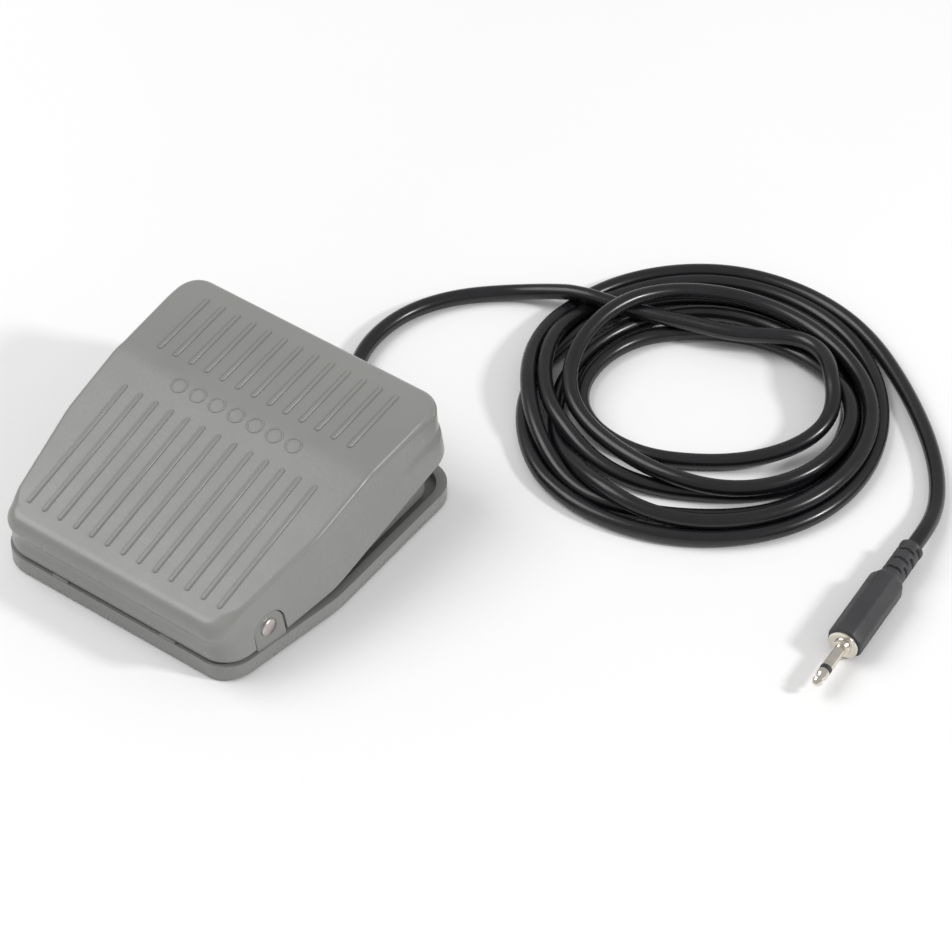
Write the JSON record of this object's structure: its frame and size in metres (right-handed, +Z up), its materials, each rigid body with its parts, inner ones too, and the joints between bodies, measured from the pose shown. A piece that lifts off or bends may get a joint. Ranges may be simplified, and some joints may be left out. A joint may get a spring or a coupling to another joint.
{
  "type": "foot switch with coiled lead and jack plug",
  "caption": "Sprung metal treadle pedal hinged on a cast base over a snap switch, with a loose coil of black cord ending in a small jack plug.",
  "frame": {"origin": "on the ground under the middle of the pedal unit's outline, without the cord", "axes": "+Y from the heel to the toe of the pedal, +Z up, +X to the pedal's right"},
  "size_m": [0.224, 0.2309, 0.0393],
  "materials": {
    "cover_paint": "semi-gloss grey paint over a die casting",
    "base_paint": "semi-gloss grey paint over a die casting",
    "rubber": "matt black rubber",
    "pin_steel": "machined steel pin end",
    "spring_steel": "bright spring steel",
    "zinc_steel": "zinc-plated steel",
    "black_plastic": "moulded black plastic",
    "red_plastic": "moulded red plastic",
    "brass": "tinned brass",
    "wire_insulation": "coloured wire insulation",
    "cord_pvc": "semi-gloss black flexible PVC",
    "plug_plastic": "moulded black plastic, satin",
    "nickel": "nickel-plated brass"
  },
  "bodies": {
    "base": {"base_casting": "base_paint", "rubber_feet": "rubber", "pivot_pin": "pin_steel", "pin_clips": "spring_steel", "switch_case": "black_plastic", "switch_lid": "red_plastic", "switch_terminals": "brass", "switch_screws": "zinc_steel", "return_springs": "spring_steel", "cord_grommet": "rubber", "cord_clamp": "zinc_steel", "clamp_screws": "zinc_steel", "inner_wires": "wire_insulation", "wire_receptacles": "brass", "lead_cord": "cord_pvc", "cord_coil": "cord_pvc", "tail_cord": "cord_pvc", "plug_boot": "plug_plastic", "plug_barrel": "plug_plastic", "plug_collar": "nickel", "jack_sleeve": "nickel", "jack_insulator": "black_plastic", "jack_tip": "nickel"},
    "pedal": {"pedal_cover": "cover_paint", "actuator_screw": "zinc_steel", "actuator_nut": "zinc_steel"},
    "lever": {"switch_lever": "spring_steel"},
    "plunger": {"switch_plunger": "red_plastic"}
  },
  "joints": [
    {"name": "pedal_hinge", "type": "hinge", "parent": "base", "child": "pedal", "pos_m": [0, -0.032, 0.0116], "axis": [-1, 0, 0], "range_deg": [0, 6.5], "stiffness_Nm_per_rad": 6, "springref_deg": -6.88, "deforming": ["return_springs"]},
    {"name": "lever_hinge", "type": "hinge", "parent": "base", "child": "lever", "pos_m": [0, 0.0226, 0.0216], "axis": [1, 0, 0], "range_deg": [0, 11.2]},
    {"name": "plunger_slide", "type": "slide", "parent": "base", "child": "plunger", "axis": [0, 0, -1], "range_m": [0, 0.00145]}
  ],
  "couplings": [
    {"joint": "lever_hinge", "follows": "pedal_hinge", "ratio": 1.69},
    {"joint": "plunger_slide", "follows": "pedal_hinge", "m_per_rad": 0.0123}
  ]
}
